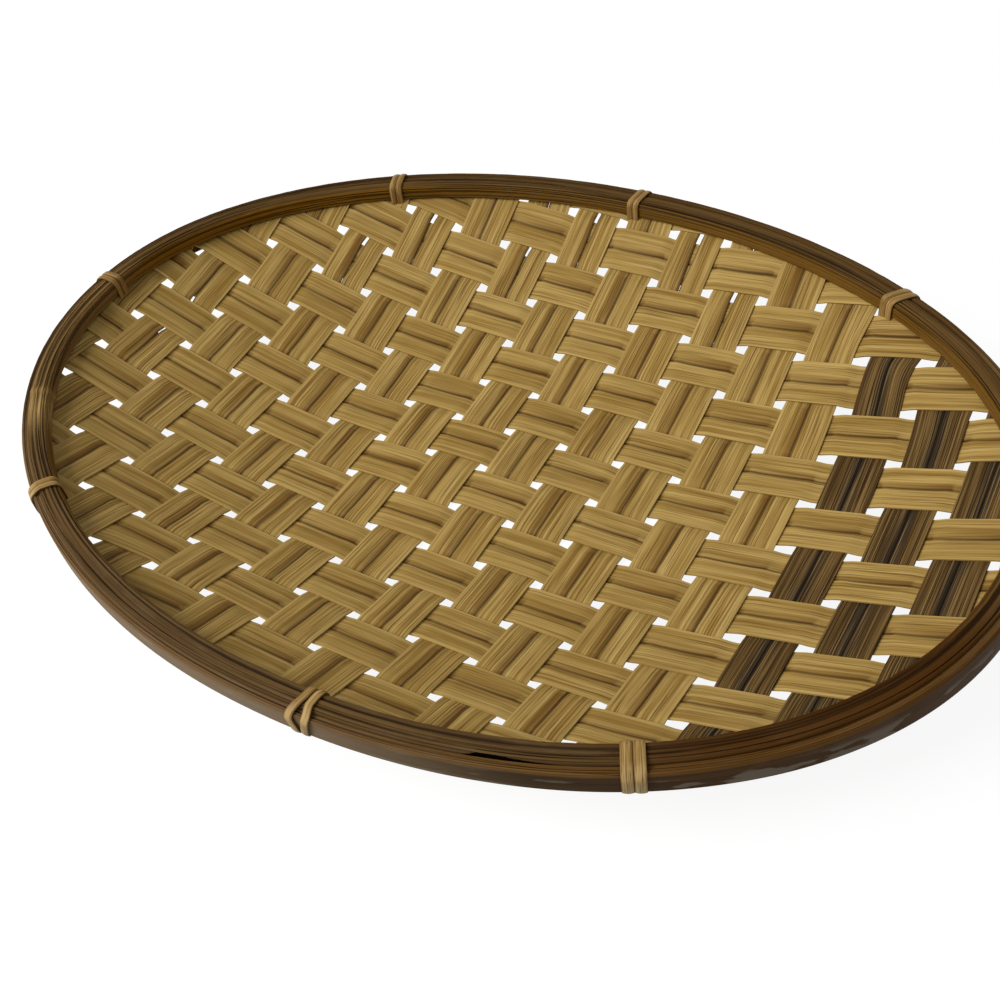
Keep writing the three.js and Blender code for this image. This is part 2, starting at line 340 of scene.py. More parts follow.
def strand_tree(name, runs_along_x):
    """A pair of strips that weaves through the crossing strands and is trimmed to the oval."""
    tree, size = start_tree(name, strand_sizes)
    along_limit, across_limit = half_length - mat_inset, half_width - mat_inset
    pitch, offset, first_over = column_pitch, column_offset, -1
    if not runs_along_x:
        along_limit, across_limit = across_limit, along_limit
        pitch, offset, first_over = row_pitch, row_offset, 1
    edge_limit = across_limit - side_margin
    strips = []
    for side in (-1, 1):
        strip, share, v = sheet(tree, size["Stations"], strip_points)
        from_joint = v * (side / 2) + 0.5
        joint = within(size["Place"] + side * pair_slit / 2, -edge_limit, edge_limit)
        edge = within(size["Place"] + size["Half Width"] * side, -edge_limit, edge_limit)
        across = joint + from_joint * (edge - joint)
        trim = 1.0 - (abs(across) / across_limit) ** oval_fullness
        along = (share * 2 - 1) * along_limit * trim ** (1 / oval_fullness)

        gape = size["Gape Width"] * hump(along, size["Gape Place"], size["Gape Length"])
        wander = mottle(tree, along * wander_rate, size["Seed"] * 5 + side, 0.3) - 0.5
        across = across + gape * (1 - from_joint) * (side / 2)
        across = across + wander * from_joint * (2 * side * edge_wander)

        phase = (along - offset) / pitch
        crossing = phase.math("ROUND")
        reached = phase - crossing
        off_crossing = abs(reached)
        layer = ((crossing + size["Number"]) * math.pi).math("COSINE") * first_over
        change = ((0.5 - off_crossing) / crossing_slope).math("MINIMUM", 1.0)
        rise = layer * (change * (math.pi / 2)).math("SINE")
        over = rise.math("MAXIMUM", 0.0)
        bow = (off_crossing * math.pi).math("COSINE") * (over * over_bow + (rise - over) * under_bow)
        mid_float = (1 - (off_crossing / float_reach) ** 4).math("MAXIMUM", 0.0)
        by_joint = (1 - from_joint / joint_reach).math("MAXIMUM", 0.0) ** 2
        dip = by_joint * (over * (1 - held_dip) + held_dip) * mid_float * joint_dip
        x, y = pulled(along, across) if runs_along_x else pulled(across, along)
        drop = from_joint**edge_sharpness * edge_drop
        top = dish_height(x, y) + rise * layer_rise + bow - dip - drop + strip_thickness / 2

        strip = marked(tree, strip, "fibre", along / mm, across / mm, size["Seed"] + pair_seed * side)
        strip = marked(tree, strip, "lay", from_joint, side, reached)
        strip = after(tree, "GeometryNodeSetPosition", strip, position=placed(tree, x, y, top))
        strip = thickened(tree, strip, strip_thickness if runs_along_x else -strip_thickness)
        beyond = (size["Place"] * side).math("GREATER_THAN", across_limit - least_strip)
        strips.append(after(tree, "GeometryNodeDeleteGeometry", strip, selection=beyond))
    end_tree(tree, joined(tree, strips), size["Finish"])
    return tree


def paint(red, green, blue):
    """A colour as a photograph's pixel has it, made linear for a shader."""
    linear = [((c / 255 + 0.055) / 1.055) ** 2.4 for c in (red, green, blue)]
    return (*linear, 1.0)


def blended(tree, share, first, second):
    node = tree.nodes.new("ShaderNodeMix")
    node.data_type = "RGBA"
    plug(tree, share, node.inputs[0])
    plug(tree, first, node.inputs[6])
    plug(tree, second, node.inputs[7])
    return node.outputs[2]


def attribute(tree, name):
    """The three wires of an attribute of the piece."""
    node = tree.nodes.new("ShaderNodeAttribute")
    node.attribute_name = name
    return parted(tree, node.outputs["Vector"])


def start_finish(name):
    """A new material with the wires of the piece's own fibre and lay attributes."""
    material = bpy.data.materials.new(name)
    material.use_nodes = True
    tree = material.node_tree
    return material, tree, attribute(tree, "fibre") + attribute(tree, "lay")


def end_finish(tree, colour, roughness, height, depth, gloss=0.1):
    """Leads colour, roughness and relief to the material's shader."""
    shader = tree.nodes["Principled BSDF"]
    shader.inputs["Specular IOR Level"].default_value = gloss
    relief = tree.nodes.new("ShaderNodeBump")
    relief.inputs["Distance"].default_value = depth
    plug(tree, height, relief.inputs["Height"])
    plug(tree, colour, shader.inputs["Base Color"])
    plug(tree, roughness, shader.inputs["Roughness"])
    tree.links.new(relief.outputs[0], shader.inputs["Normal"])


def natural_bamboo(name, grain, finer_end, crease_side, crease, crease_run):
    """Golden bamboo with brown fibres along it, browner towards the joint on one strip of each pair
    (partly brown stain, partly painted shade), with a painted highlight along each strip's outer edge.
    """
    golden, light_golden = paint(146, 115, 54), paint(175, 145, 82)
    brown_fibre, bright_fibre, dark_hair = paint(108, 74, 24), paint(199, 171, 107), paint(80, 52, 18)
    painted_edge_highlight, browned_and_shaded, joint_shade = paint(192, 162, 98), paint(92, 56, 8), paint(46, 26, 6)
    material, tree, (along, across, seed, from_joint, side, reached) = start_finish(name)
    fine = mottle(tree, along * 0.02, across * 1.5, seed * 13, 3)
    hair = mottle(tree, along * 0.03, across * 3.0, seed * 29, 1)
    broad = mottle(tree, along * 0.012, across * 0.4, seed * 7)
    streaks = (band(along, -40.0, 150.0) * finer_end + 1) * grain
    colour = blended(tree, band(broad, 0.3, 0.7), golden, light_golden)
    colour = blended(tree, band(fine, 0.5, 0.7) * streaks, colour, brown_fibre)
    colour = blended(tree, band(fine, 0.46, 0.32) * streaks * 0.8, colour, bright_fibre)
    colour = blended(tree, band(hair, 0.57, 0.66) * streaks, colour, dark_hair)
    # Painted highlight: each strip is made lighter along its outer edge.
    edge_highlight_share = band(from_joint, 0.84, 0.97)
    colour = blended(tree, edge_highlight_share * 0.4, colour, painted_edge_highlight)
    # Browner towards the joint on one strip of each pair, and more so towards one end of each float:
    # partly brown stain, partly painted shade.
    run = band(reached, -crease_run, crease_run) * 0.7 + 0.3
    inner = band(from_joint + (broad - 0.5) * 0.5, 0.5, 0.05) * run
    near_side = band(side * crease_side, -1.6, 1.0)
    colour = blended(tree, inner * near_side * crease, colour, browned_and_shaded)
    joint_line = band(from_joint, 0.09, 0.02) * (run * 0.5 + 0.5)
    colour = blended(tree, joint_line * 0.75, colour, joint_shade)
    roughness, relief = 0.55 + fine * 0.1, fine + broad * 0.5
    end_finish(tree, colour, roughness, relief, depth=0.05 * mm)
    return material


long_tree = strand_tree("long strand", True)
long_finish = natural_bamboo(
    "long strip bamboo",
    grain=0.45,
    finer_end=0.35,
    crease_side=1,
    crease=0.7,
    crease_run=0.6,
)
row_count = 13
middle_row = 7
row_low, row_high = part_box("long_strand_07")
row_half = (row_high.y - row_low.y) / 2
for count in range(1, row_count + 1):
    row = count - middle_row
    node = f"long_strand_{count:02d}"
    low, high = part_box(node)
    stations = round((high.x - low.x) / column_pitch * stations_per_crossing)
    strand = grown(
        f"long_strips_{count:02d}",
        long_tree,
        {
            "Place": row_offset + row * row_pitch,
            "Number": float(row),
            "Half Width": row_half,
            "Gape Place": 0.0,
            "Gape Length": gape_length,
            "Gape Width": 0.0,
            "Seed": count * 1.7,
            "Stations": max(least_stations, stations),
            "Finish": long_finish,
        },
    )
    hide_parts(node)
    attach(strand, "root")

# Cross strands
# The same flat strips, woven across the tray in pairs. Near the far rim and at the pale end the two
# strips of some pairs gape a little. The last three pairs are of dark, smoked bamboo and a bit slimmer.
cross_tree = strand_tree("cross strand", False)
cross_finish = natural_bamboo(
    "cross strip bamboo",
    grain=0.75,
    finer_end=0.0,
    crease_side=-1,
    crease=0.9,
    crease_run=2.0,
)
column_count = 16
middle_column = 9
dark_count = 3
gapes = {  # count from the pale end: place along the strand and width, in mm
    2: (12, 1.4),
    4: (86, 1.6),
    5: (112, 1.8),
    7: (113, 1.3),
    8: (132, 1.5),
    10: (132, 2.0),
    11: (112, 1.8),
}
slips = {14: 1.5, 15: 0.6, 16: -1.0}  # of the slimmer dark strands off the even pitch, in mm
dark_slimness = 0.96


def dark_bamboo(name):
    """Smoked bamboo: brown with pale fibres along it and a blue-black band along the pair's joint,
    partly the bamboo's own dark heart and partly painted shade.
    """
    brown, light_brown = paint(74, 53, 25), paint(102, 78, 42)
    dark_heart_and_shade, joint_shade = paint(50, 43, 34), paint(16, 11, 6)
    pale_fibre, dark_fibre = paint(136, 109, 65), paint(32, 19, 8)
    material, tree, (along, across, seed, from_joint, _, _) = start_finish(name)
    fine = mottle(tree, along * 0.02, across * 2.5, seed * 11, 3)
    broad = mottle(tree, along * 0.014, across * 0.5, seed * 3)
    colour = blended(tree, band(broad, 0.35, 0.65), brown, light_brown)
    # Darker band along the joint: partly the bamboo's own dark heart, partly painted shade.
    heart_and_shade = band(from_joint + (broad - 0.5) * 0.6, 0.42, 0.1)
    colour = blended(tree, heart_and_shade * 0.8, colour, dark_heart_and_shade)
    colour = blended(tree, band(fine, 0.53, 0.64) * 0.75, colour, pale_fibre)
    colour = blended(tree, band(fine, 0.48, 0.37) * 0.9, colour, dark_fibre)
    colour = blended(tree, band(from_joint, 0.1, 0.03) * 0.85, colour, joint_shade)
    roughness, relief = 0.55 + broad * 0.15, fine + broad * 0.5
    end_finish(tree, colour, roughness, relief, depth=0.06 * mm, gloss=0.05)
    return material


dark_finish = dark_bamboo("dark strip bamboo")
for count in range(1, column_count + 1):
    column = count - middle_column
    node = f"cross_strand_{count:02d}"
    low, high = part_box(node)
    stations = round((high.y - low.y) / row_pitch * stations_per_crossing)
    is_dark = count > column_count - dark_count
    model = "cross_strand_15" if is_dark else "cross_strand_09"
    model_low, model_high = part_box(model)
    half = (model_high.x - model_low.x) / 2 * (dark_slimness if is_dark else 1)
    gape_place, gape_width = gapes.get(count, (0, 0))
    strand = grown(
        f"cross_strips_{count:02d}",
        cross_tree,
        {
            "Place": column_offset + column * column_pitch + slips.get(count, 0) * mm,
            "Number": float(column),
            "Half Width": half,
            "Gape Place": gape_place * mm,
            "Gape Length": gape_length,
            "Gape Width": gape_width * mm,
            "Seed": 40 + count * 1.3,
            "Stations": max(least_stations, stations),
            "Finish": dark_finish if is_dark else cross_finish,
        },
    )
    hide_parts(node)
    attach(strand, "root")

# Inner hoop
# A thick splint of stained bamboo bent round over the mat's edge, its tapered ends lapped at the far
# side. A node of the culm shows near the pale end, and its outer edge has split at the near side.
scarf_length = 46 * mm
lap_gap = 0.06 * mm
lap_inset = 3.2 * mm  # from the outer hoop's face in to where the inner hoop's lap is measured
section_points = 97  # once round the splint
hoop_stations = 960  # along it
rim_thickness = 10.6 * mm  # of both hoops
inner_hoop_inset = 2.95 * mm  # from the outer hoop's face in to the inner hoop's
rim_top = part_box("inner_hoop")[1].z - end_rise
rim_swell_seed = 9.0  # both hoops were bent as one, so they wander together
swell_rate = 1.7
swell_out = 0.3 * mm
swell_up = 0.4 * mm
splits_round = 4.5  # how fast the splits follow each other round the section
split_width = 0.07
chip_rate = 34
chips_round = 2.2
node_length = 0.012  # in radians of the oval, and so is the waver
node_waver = 0.04
slit_widest_at = 0.18  # share of the slit's length
slit_foot = -0.3  # on a scale of -1 at the splint's foot and 1 at its top
slit_rise = 1.2
slit_soft_edge = 0.2 * mm
past_lap = 1.02  # share of the lap up to which the first end is cut
hoop_seat = 1.45 * mm  # from the mat's middle layer up to the inner hoop's foot
foot_sharpness = 6.0  # how much less rounded a splint is underneath
uncut = 2 * mm  # how far off a splint's faces a cut lies where there is none
hoop_sizes = (
    "Outer Inset",
    "Thickness",
    "Start",
    "Lap",
    "Tip",
    "Drop",
    "Foot",
    "Seat",
    "Roundness",
    "Mating Side",
    "Mating Sharpness",
    "Skin",
    "Groove Depth",
    "Chip Depth",
    "Slit",
    "Slit Start",
    "Slit End",
    "Node Angle",
    "Node Size",
    "Seed",
)


def oval_place(inset, angle):
    """A point of the oval that lies inset from the outer hoop's outer face."""
    c, s = math.cos(angle), math.sin(angle)
    x = (half_length - inset) * math.copysign(abs(c) ** (2 / oval_fullness), c)
    y = (half_width - inset) * math.copysign(abs(s) ** (2 / oval_fullness), s)
    return Vector((x, y, 0))


def signed_power(value, power):
    return value.math("SIGN") * abs(value) ** power


def hoop_tree(name):
    """A splint with a rounded, grooved section, bent round the oval until its tapered ends lap."""
    tree, size = start_tree(name, hoop_sizes)
    grid = tree.nodes.new("GeometryNodeMeshGrid")
    plug(tree, size["Stations"], grid.inputs["Vertices X"])
    grid.inputs["Vertices Y"].default_value = section_points
    x, y, _ = parted(tree, tree.nodes.new("GeometryNodeInputPosition").outputs[0])
    sweep = (x + 0.5) * (size["Lap"] + 2 * math.pi)
    angle = size["Start"] + sweep
    bend_x, bend_y = angle.math("COSINE"), angle.math("SINE")
    around = (y + 0.5) * 4

    # Once round the section, 0 to 4: outer face, top, inner face and foot, with rounded corners.
    inwards = (within(around - 1, 0.0, 1.0) - within(around - 3, 0.0, 1.0)) * 2 - 1
    upwards = (within(around, 0.0, 1.0) - within(around - 2, 0.0, 1.0)) * 2 - 1
    mating = band(inwards * size["Mating Side"], 0.2, 0.7)
    power = size["Roundness"] + foot_sharpness * band(upwards, 0.2, -0.5)
    power = power + size["Mating Sharpness"] * mating
    corner = (abs(inwards) ** power + abs(upwards) ** power) ** (1.0 / power)
    inwards = inwards / corner
    upwards = upwards / corner

    # Splits between the fibres run along it as grooves, and a node stands up as a small ring.
    # The face that lies against the other hoop is smooth, and so is the culm's skin.
    seam = band(around, 0.0, 0.25) * band(around, 4.0, 3.75)
    skin = band(inwards * -1, 0.6, 0.95) * size["Skin"]
    bare = seam * band(inwards * size["Mating Side"], 0.98, 0.8) * (1 - skin * 0.9)
    fibres = mottle(tree, bend_x * 0.5, bend_y * 0.5, around * splits_round + size["Seed"], 1)
    groove = band(abs(fibres - 0.5), split_width, 0.0) * bare
    swell = mottle(tree, bend_x * swell_rate, bend_y * swell_rate, rim_swell_seed) - 0.5
    chip_place = around * chips_round + size["Seed"]
    chips = (mottle(tree, bend_x * chip_rate, bend_y * chip_rate, chip_place) - 0.5) * bare
    node = hump(angle + (fibres - 0.5) * seam * node_waver, size["Node Angle"], node_length)
    push = node * size["Node Size"] - groove * size["Groove Depth"] + chips * size["Chip Depth"]

    # Each end is cut to a taper, from within or from without, and a slit opens the outer face.
    first_end = sweep / size["Lap"]
    last_end = (sweep - 2 * math.pi) / size["Lap"]
    taper = size["Thickness"] - 2 * size["Tip"] - lap_gap
    from_inside = size["Thickness"] - size["Tip"]
    first_face = from_inside - within(first_end, 0.0, 1.0) * taper
    low = first_end.math("LESS_THAN", past_lap) * (first_face + uncut) - uncut
    slit_widest = size["Slit Start"] * (1 - slit_widest_at) + size["Slit End"] * slit_widest_at
    slit = band(angle, size["Slit Start"], slit_widest) * band(angle, size["Slit End"], slit_widest)
    slit_top = slit * slit_rise + slit_foot
    slit_share = band(upwards, slit_top, slit_top - 0.2) * band(slit, 0.0, 0.1)
    slit_face = slit_share * (size["Slit"] + uncut) - uncut
    low = low.math("MAXIMUM", slit_face)
    last_face = from_inside - lap_gap - within(last_end, 0.0, 1.0) * taper
    beyond = size["Thickness"] + uncut
    high = beyond + last_end.math("GREATER_THAN", 0.0) * (last_face - beyond)
    half = size["Thickness"] / 2
    depth = half + inwards * (half + push)
    # Where the slit's wall lies, for the finish to paint as shade.
    slit_wall_shade = band(slit_face - depth, 0.0, slit_soft_edge)
    is_kept = depth.math("GREATER_THAN", low) * depth.math("LESS_THAN", high)
    depth = within(depth, low, high)
    cut_height = (1 - within(abs(depth / half - 1), 0.0, 1.0) ** power) ** (1.0 / power)
    height = cut_height.math("MAXIMUM", is_kept)
    upwards = within(upwards, height * -1, height)
    inset = size["Outer Inset"] + depth + swell * swell_out

    squareness = 2 / oval_fullness
    x = (half_length - inset) * signed_power(bend_x, squareness)
    y = (half_width - inset) * signed_power(bend_y, squareness)
    top = rim_top + end_lift(x, y) - size["Drop"] * (1 - y / half_width) / 2
    foot = size["Foot"] + size["Seat"] * (dish_height(x, y) + hoop_seat - size["Foot"])
    up = (foot + top) / 2 + upwards * ((top - foot) / 2 + push) + swell * swell_up
    hoop = marked(tree, grid.outputs[0], "fibre", bend_x, bend_y, around * 6)
    hoop = marked(tree, hoop, "lay", inwards, upwards, angle)
    hoop = marked(tree, hoop, "grooves_node_and_slit_shade", groove, node, slit_wall_shade)
    hoop = after(tree, "GeometryNodeSetPosition", hoop, position=placed(tree, x, y, up))
    end_tree(tree, hoop, size["Finish"])
    return tree


painted_light_angle = math.radians(158)  # where light is painted on the inner hoop's face, at the pale end, which lies in shade
red_angle = math.radians(-33)  # where the stain is reddest, at the near side of the dark end


def beside(angle, middle, outer, inner):
    """1 round a place of the oval and 0 away from it, between the cosines of two angles."""
    return band((angle - middle).math("COSINE"), outer, inner)


def stained_bamboo(
    name,
    seed,
    face_side,
    face,
    top,
    near_top,
    pale,
    worn,
    worn_angle,
    worn_share,
    worn_top,
    skin,
    node_angle,
    reddish,
):
    """Dark stained bamboo with paler ridges and black splits, scuffed grey round one side, with painted
    light on the inner face at the pale end and painted shade in the slit.
    """
    dark_streak, red_stain, painted_fill_light = paint(38, 22, 6), paint(70, 39, 5), paint(140, 96, 18)
    bare_end, grey_scuff, split_black = paint(128, 98, 56), paint(106, 97, 84), paint(26, 15, 4)
    node_fan, node_ring, painted_slit_shade = paint(168, 138, 86), paint(150, 118, 70), paint(12, 7, 3)
    material, tree, (bend_x, bend_y, around, inwards, upwards, angle) = start_finish(name)
    groove, node, slit = attribute(tree, "grooves_node_and_slit_shade")
    fine = mottle(tree, bend_x * 3.4, bend_y * 3.4, around * 2.6 + seed, 3)
    broad = mottle(tree, bend_x * 2.5, bend_y * 2.5, around * 0.45 + seed * 2)
    patch = mottle(tree, bend_x * 9, bend_y * 9, around * 0.35 + seed * 3, 4)
    on_face = band(inwards * face_side, 0.3, 0.85) * band(upwards, 0.9, 0.6)
    streaky = 1 - on_face * skin
    colour = blended(tree, band(bend_y, -0.1, -0.6), top, near_top)
    colour = blended(tree, on_face, colour, face)
    colour = blended(tree, band(broad, 0.42, 0.66) * streaky * 0.5, colour, pale)
    colour = blended(tree, band(fine, 0.5, 0.66) * streaky * 0.6, colour, dark_streak)
    colour = blended(tree, band(fine, 0.44, 0.32) * streaky * 0.55, colour, pale)
    red_run = beside(angle, red_angle, 0.878, 0.98)
    colour = blended(tree, red_run * reddish, colour, red_stain)
    # Painted light: the inner face is made warmer and paler round the pale end, where it lies in shade.
    painted_light_share = on_face * beside(angle, painted_light_angle, 0.75, 0.95) * (1 - skin)
    colour = blended(tree, painted_light_share * 0.6, colour, painted_fill_light)
    pale_end = beside(angle, node_angle - 0.2, 0.9, 0.985) * (1 - skin)
    colour = blended(tree, pale_end * 0.8, colour, bare_end)
    worn_side = beside(angle, worn_angle, 0.5, 0.88) * (on_face * (1 - worn_top) + worn_top)
    patches = band(patch, 0.5, 0.64) * (worn_side * 0.28 + 0.08)
    colour = blended(tree, worn_side * worn_share + patches, colour, worn)
    low_near_face = band(upwards, 0.4, -0.1) * band(bend_y, 0.0, -0.3) * on_face
    scuffs = band(patch, 0.52, 0.58) * low_near_face * skin
    colour = blended(tree, scuffs, colour, grey_scuff)
    colour = blended(tree, groove * 0.82, colour, split_black)
    by_node = hump(angle, node_angle + 0.07, 0.07) * (1 - skin)
    colour = blended(tree, by_node * band(fine, 0.58, 0.42) * 0.9, colour, node_fan)
    colour = blended(tree, node * 0.5, colour, node_ring)
    # Painted shade: the slit's wall is made near black, as the deep, narrow gap is in shadow.
    colour = blended(tree, slit, colour, painted_slit_shade)
    end_finish(tree, colour, 0.5 + patch * 0.2, fine + broad, depth=0.12 * mm, gloss=0.04)
    return material


hoop_model = hoop_tree("bent hoop")
inner_start = math.radians(90.5)
inner_node = math.radians(360 - 153)
inner_seed = 3.0
inner_hoop = grown(
    "bent_inner_hoop",
    hoop_model,
    {
        "Outer Inset": inner_hoop_inset,
        "Thickness": rim_thickness - inner_hoop_inset,
        "Start": inner_start,
        "Lap": scarf_length / oval_place(lap_inset, inner_start).length,
        "Tip": 0.8 * mm,
        "Drop": 0.0,
        "Foot": 0.0,
        "Seat": 1.0,
        "Roundness": 3.2,
        "Mating Side": -1.0,
        "Mating Sharpness": 0.0,
        "Skin": 0.0,
        "Groove Depth": 0.45 * mm,
        "Chip Depth": 0.5 * mm,
        "Slit": 1.1 * mm,
        "Slit Start": math.radians(360 - 71.3),
        "Slit End": math.radians(360 - 58),
        "Node Angle": inner_node,
        "Node Size": 0.5 * mm,
        "Seed": inner_seed,
        "Stations": hoop_stations,
        "Finish": stained_bamboo(
            "inner hoop bamboo",
            seed=inner_seed,
            face_side=1,
            face=paint(112, 78, 20),
            top=paint(84, 60, 28),
            near_top=paint(80, 58, 30),
            pale=paint(112, 84, 44),
            worn=paint(106, 84, 56),
            worn_angle=math.radians(-95),
            worn_share=0.15,
            worn_top=1.0,
            skin=0.0,
            node_angle=inner_node,
            reddish=0.85,
        ),
    },
)
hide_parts("inner_hoop")
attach(inner_hoop, "root")

# Outer hoop
# A thin, tall splint of stained bamboo bent round the mat's cut edge, its ends lapped at the near side.
# Its outer face is the culm's skin, greyed and scuffed along the lower half.
outer_start = math.radians(-72.6)
outer_node = math.radians(30)
outer_seed = 7.0
outer_drop = 2.0 * mm  # at the near side, from the inner hoop's top down to the outer hoop's
outer_thickness = 3.1 * mm  # a hair past the inner hoop's face, so that their joint shows no light
outer_hoop = grown(
    "bent_outer_hoop",
    hoop_model,
    {
        "Outer Inset": 0.0,
        "Thickness": outer_thickness,
        "Start": outer_start,
        "Lap": scarf_length / oval_place(0.0, outer_start).length,
        "Tip": 0.06 * mm,
        "Drop": outer_drop,
        "Foot": rim_low.z,
        "Seat": 0.0,
        "Roundness": 5.0,
        "Mating Side": 1.0,
        "Mating Sharpness": 9.0,
        "Skin": 1.0,
        "Groove Depth": 0.22 * mm,
        "Chip Depth": 0.25 * mm,
        "Slit": -uncut,
        "Slit Start": 0.0,
        "Slit End": 1.0,
        "Node Angle": outer_node,
        "Node Size": 0.3 * mm,
        "Seed": outer_seed,
        "Stations": hoop_stations,
        "Finish": stained_bamboo(
            "outer hoop bamboo",
            seed=outer_seed,
            face_side=-1,
            face=paint(52, 37, 18),
            top=paint(79, 55, 22),
            near_top=paint(104, 73, 33),
            pale=paint(112, 82, 44),
            worn=paint(136, 116, 90),
            worn_angle=math.radians(-122),
            worn_share=0.66,
            worn_top=0.3,
            skin=0.75,
            node_angle=outer_node,
            reddish=0.35,
        ),
    },
)
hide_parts("outer_hoop")
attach(outer_hoop, "root")

# Rim lashings
# Strips of rattan wound twice round both hoops and down through the mat, side by side and pulled tight.
# Their ends are tucked away under the rim. One on the near side has slipped apart outside.
lash_sizes = ("Rim X", "Rim Y", "Facing", "Width", "Pitch", "Slant", "Splay", "Seed")
lash_thickness = 0.9 * mm
lash_crown = 0.25 * mm
lash_bend = 4.4  # 2 would be a round loop, more hugs the rim's corners
lash_foot = rim_low.z - 0.75 * mm
lash_head = rim_top + 0.8 * mm
lash_inside = -rim_thickness - 0.6 * mm
lash_outside = 0.95 * mm
lash_fall_start = -4.5 * mm  # from there outwards a lashing falls to the outer hoop's top
lash_start = math.radians(140)  # round the rim's section, where a strip begins
lash_turn = math.radians(620)  # how far it winds from there
step_start, step_end = math.radians(405), math.radians(495)  # between them it steps to its second turn
lash_points = 9  # across the strip
lash_stations = 150


def lashing_tree(name):
    """A flat strip that winds round the rim, and steps sideways where it passes underneath."""
    tree, size = start_tree(name, lash_sizes)
    strip, share, v = sheet(tree, size["Stations"], lash_points)
    turned = share * lash_turn + lash_start
    angle = turned * -1
    step = band(turned, step_start, step_end) - 0.5
    crown = (1 - v * v) * lash_crown
    outwards = signed_power(angle.math("COSINE"), 2 / lash_bend)
    upwards = signed_power(angle.math("SINE"), 2 / lash_bend)
    out = (lash_inside + lash_outside) / 2 + outwards * ((lash_outside - lash_inside) / 2 + crown)
    head = end_lift(size["Rim X"], size["Rim Y"]) + lash_head
    up = (head + lash_foot) / 2 + upwards * ((head - lash_foot) / 2 + crown)
    fall = (1 - size["Rim Y"] / half_width) / 2 * outer_drop
    up = up - band(out, lash_fall_start, lash_outside) * upwards.math("MAXIMUM", 0.0) * fall
    kink = band(outwards, -0.1, 0.9) * band(upwards, -0.9, 0.7)
    along = step * size["Pitch"] * (size["Splay"] * kink + 1) + v * size["Width"] / 2
    along = along - (out - lash_inside) * size["Slant"]
    c, s = size["Facing"].math("COSINE"), size["Facing"].math("SINE")
    x = size["Rim X"] + c * out - s * along
    y = size["Rim Y"] + s * out + c * along
    strip = marked(tree, strip, "fibre", turned * 10, v * 1.7 + step * 4, size["Seed"])
    strip = marked(tree, strip, "lay", v, outwards, upwards)
    strip = after(tree, "GeometryNodeSetPosition", strip, position=placed(tree, x, y, up))
    strip = thickened(tree, strip, lash_thickness)
    end_tree(tree, strip, size["Finish"])
    return tree


def rattan(name):
    """Split rattan: tan, with fine fibres, palest where it bends over the outer hoop, greyer below, and
    with painted shade along its edges.
    """
    tan, light_tan = paint(132, 100, 50), paint(161, 129, 74)
    grey_tan, pale_bend = paint(150, 134, 98), paint(188, 157, 106)
    dark_fibre, bright_fibre, edge_shade = paint(88, 60, 24), paint(198, 168, 116), paint(84, 59, 27)
    material, tree, (along, across, seed, v, outwards, upwards) = start_finish(name)
    fine = mottle(tree, along * 0.06, across * 2.6, seed * 5, 3)
    broad = mottle(tree, along * 0.1, across * 0.5, seed * 3)
    colour = blended(tree, band(broad, 0.35, 0.65), tan, light_tan)
    low_outside = band(outwards, 0.6, 0.95) * band(upwards, 0.5, -0.3)
    colour = blended(tree, low_outside * 0.75, colour, grey_tan)
    kink = band(outwards, 0.2, 0.8) * band(upwards, 0.1, 0.7)
    colour = blended(tree, kink * 0.65, colour, pale_bend)
    colour = blended(tree, band(fine, 0.51, 0.64) * 0.75, colour, dark_fibre)
    colour = blended(tree, band(fine, 0.45, 0.33) * 0.5, colour, bright_fibre)
    # Painted shade: each strip is darker along both its edges, where it meets the next turn.
    colour = blended(tree, band(abs(v), 0.68, 1.0) * 0.65, colour, edge_shade)
    roughness, relief = 0.5 + broad * 0.15, fine + broad * 0.5
    end_finish(tree, colour, roughness, relief, depth=0.06 * mm)
    return material


lash_model = lashing_tree("rim lashing")
lash_finish = rattan("lashing rattan")
lashings = (  # angle round the oval in degrees, lean along the rim, and the strip's width in mm
    (178.8, 0.0, 2.7),
    (125.3, 0.15, 2.8),
    (90.9, 0.15, 2.6),
    (52.8, 0.25, 3.1),
    (0.0, 0.0, 3.2),
    (-55.0, 0.0, 3.7),
    (-85.7, 0.2, 2.9),
    (-132.5, 0.1, 2.6),
)
slipped_lashing = 7
turn_gap = 0.12 * mm
slipped_gap = 0.4 * mm
turn_splay = 0.03  # how far apart the turns stand where they bend over the outer hoop
slipped_splay = 0.85
small_turn = 0.0001  # in radians, to find the rim's direction
for count, (degrees, slant, width) in enumerate(lashings, 1):
    slipped = count == slipped_lashing
    angle = math.radians(degrees)
    here = oval_place(0.0, angle)
    ahead = oval_place(0.0, angle + small_turn) - oval_place(0.0, angle - small_turn)
    lashing = grown(
        f"wound_lashing_{count}",
        lash_model,
        {
            "Rim X": here.x,
            "Rim Y": here.y,
            "Facing": math.atan2(-ahead.x, ahead.y),
            "Width": width * mm,
            "Pitch": width * mm + (slipped_gap if slipped else turn_gap),
            "Slant": slant,
            "Splay": slipped_splay if slipped else turn_splay,
            "Seed": 20 + count * 2.3,
            "Stations": lash_stations,
            "Finish": lash_finish,
        },
    )
    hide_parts(f"rim_lashing_{count}")
    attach(lashing, "root")

# Floor
# A seamless white studio sheet that the tray lies on. It is seen as white but still takes the tray's
# shadow, and it throws back light as any white sheet does.
floor_size = 6.0
floor_glow = 0.9
floor_shading = 0.14  # the part of its white that takes the shadow
floor_bounce = 0.8
floor_mesh = bpy.data.meshes.new("floor")
corners = [(x * floor_size, y * floor_size, 0) for x, y in ((-1, -1), (1, -1), (1, 1), (-1, 1))]
floor_mesh.from_pydata(corners, [], [(0, 1, 2, 3)])
floor = bpy.data.objects.new("floor", floor_mesh)
bpy.context.collection.objects.link(floor)


